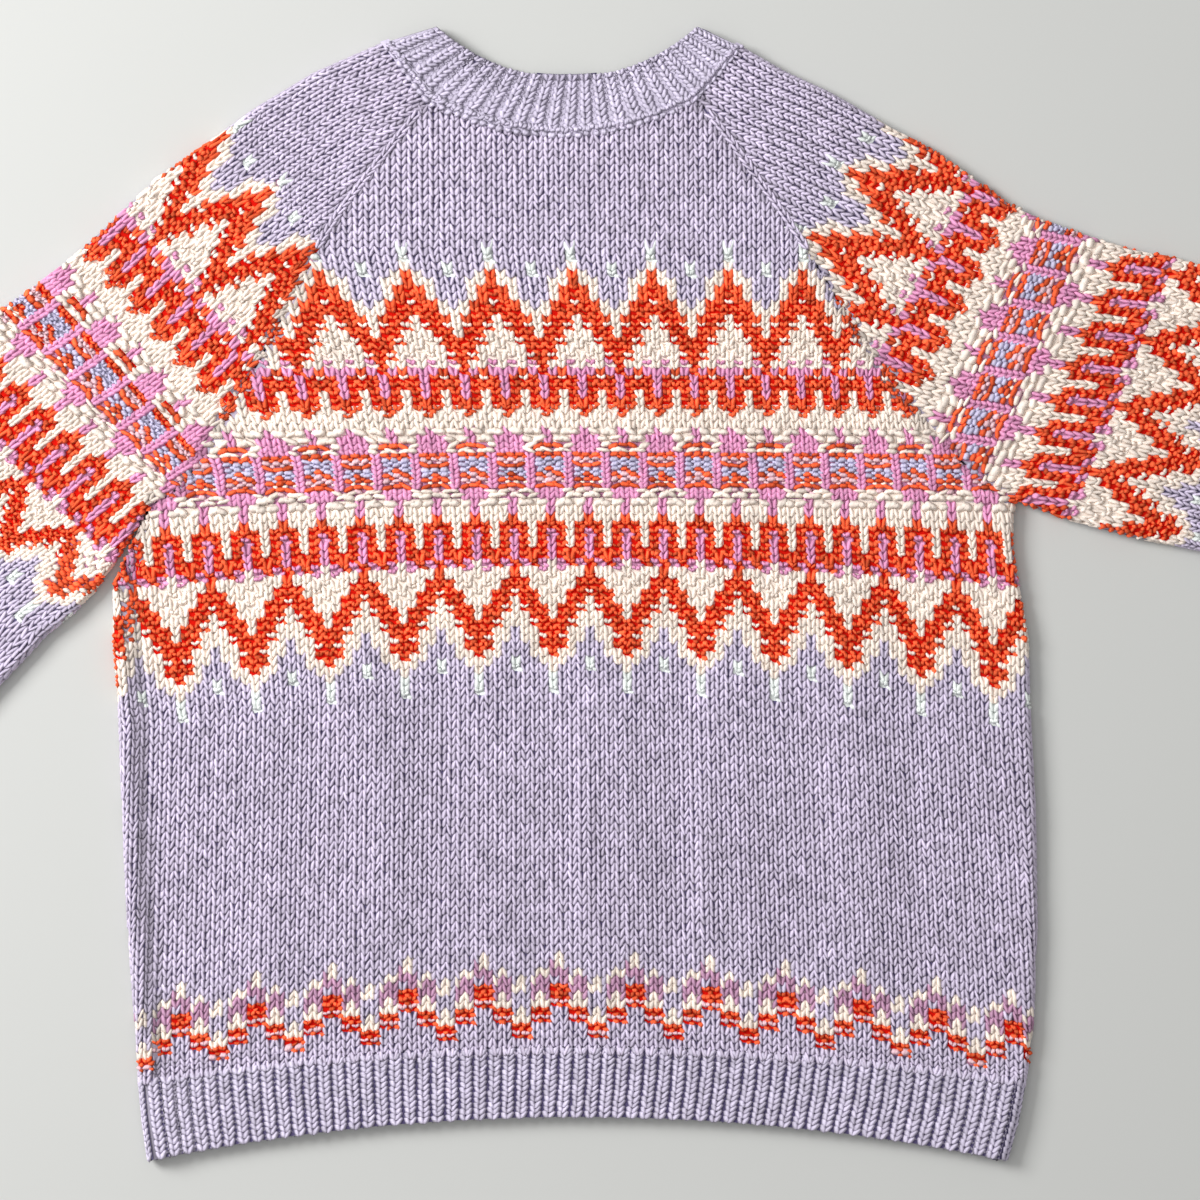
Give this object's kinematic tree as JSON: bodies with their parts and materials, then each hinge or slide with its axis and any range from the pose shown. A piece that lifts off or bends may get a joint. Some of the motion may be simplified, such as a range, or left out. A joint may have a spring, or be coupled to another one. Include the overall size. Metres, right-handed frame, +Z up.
{
  "type": "fair isle jumper",
  "caption": "Adult raglan jumper in stranded fair isle knit with ribbed neck, cuffs and hem, laid flat with its back facing up.",
  "frame": {"origin": "on the surface the jumper lies on, below the body's middle line and 75 mm nearer the hem than the armpits", "axes": "+X from the left sleeve to the right sleeve seen from above, +Y from the hem to the neck, +Z up from the surface through both layers"},
  "size_m": [1.362, 0.6236, 0.0093],
  "materials": {
    "fair_isle_knit": "matt stranded wool knit in lilac, cream, coral, orchid, periwinkle and mint",
    "ribbed_knit": "matt wool rib in lilac"
  },
  "bodies": {
    "root": {"back_panel": "fair_isle_knit", "front_panel": "fair_isle_knit", "sleeve_left": "fair_isle_knit", "sleeve_right": "fair_isle_knit", "neckband": "ribbed_knit", "hem_rib_back": "ribbed_knit", "hem_rib_front": "ribbed_knit", "cuff_left": "ribbed_knit", "cuff_right": "ribbed_knit"}
  },
  "joints": []
}
